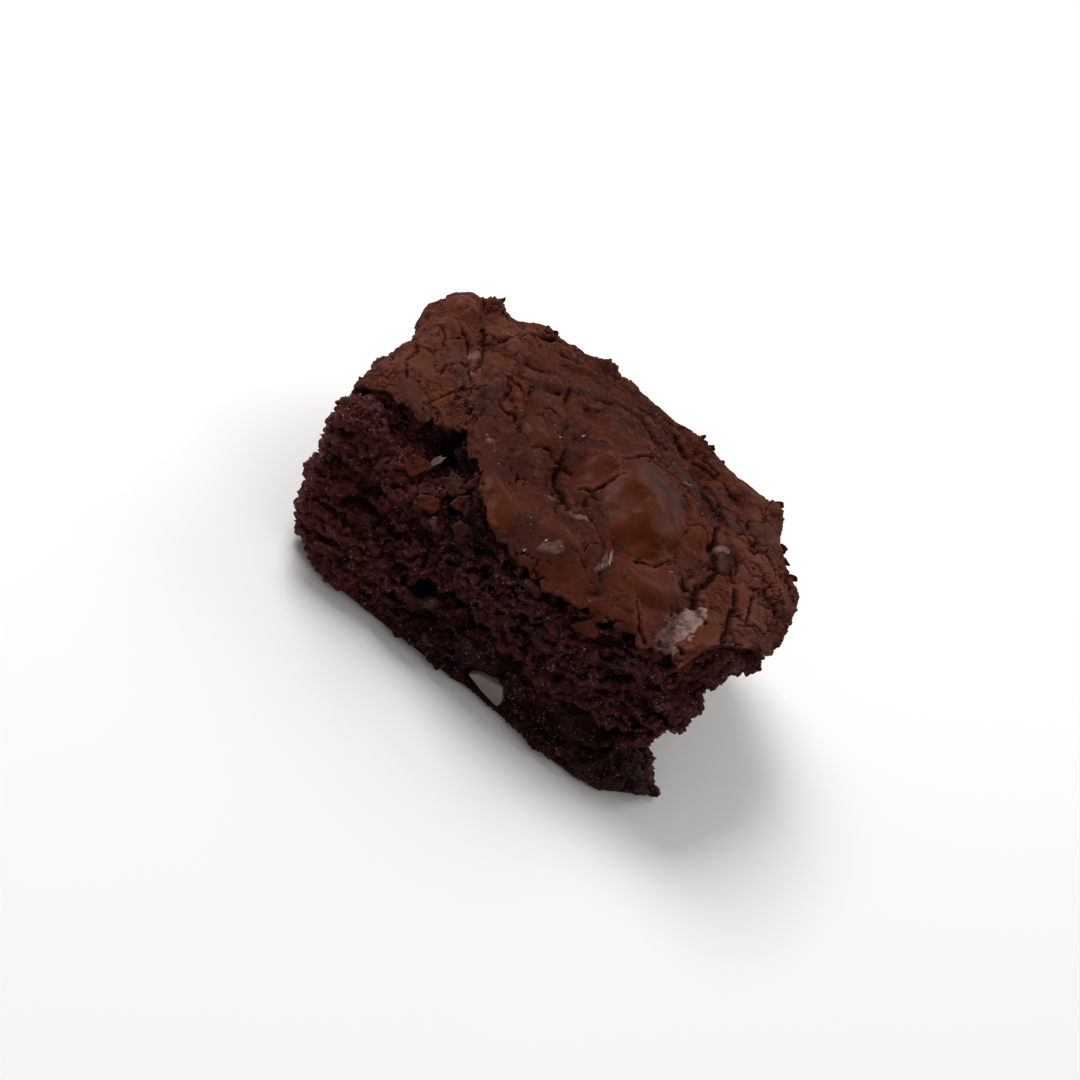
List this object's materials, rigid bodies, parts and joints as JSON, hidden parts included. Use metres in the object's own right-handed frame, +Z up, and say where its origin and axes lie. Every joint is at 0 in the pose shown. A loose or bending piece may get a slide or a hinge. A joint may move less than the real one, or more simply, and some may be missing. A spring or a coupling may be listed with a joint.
{
  "type": "brownie",
  "caption": "Thick fudge brownie with a domed, papery crackled crust, one corner broken away, a torn moist crumb face and a pale chunk set in its foot.",
  "frame": {"origin": "middle of the base, on the surface that the brownie stands on", "axes": "+X along the torn front face towards the overhanging end, +Y from that face to the back, +Z up"},
  "size_m": [0.0714, 0.0594, 0.0302],
  "materials": {
    "crust": "papery satin crust, red-brown, with dark cracks",
    "crumb": "moist, nearly black crumb with fine glints",
    "pale_chocolate": "smooth, waxy, grey-white"
  },
  "bodies": {
    "root": {"brownie": "crust", "pale_chunk": "pale_chocolate"}
  },
  "joints": []
}
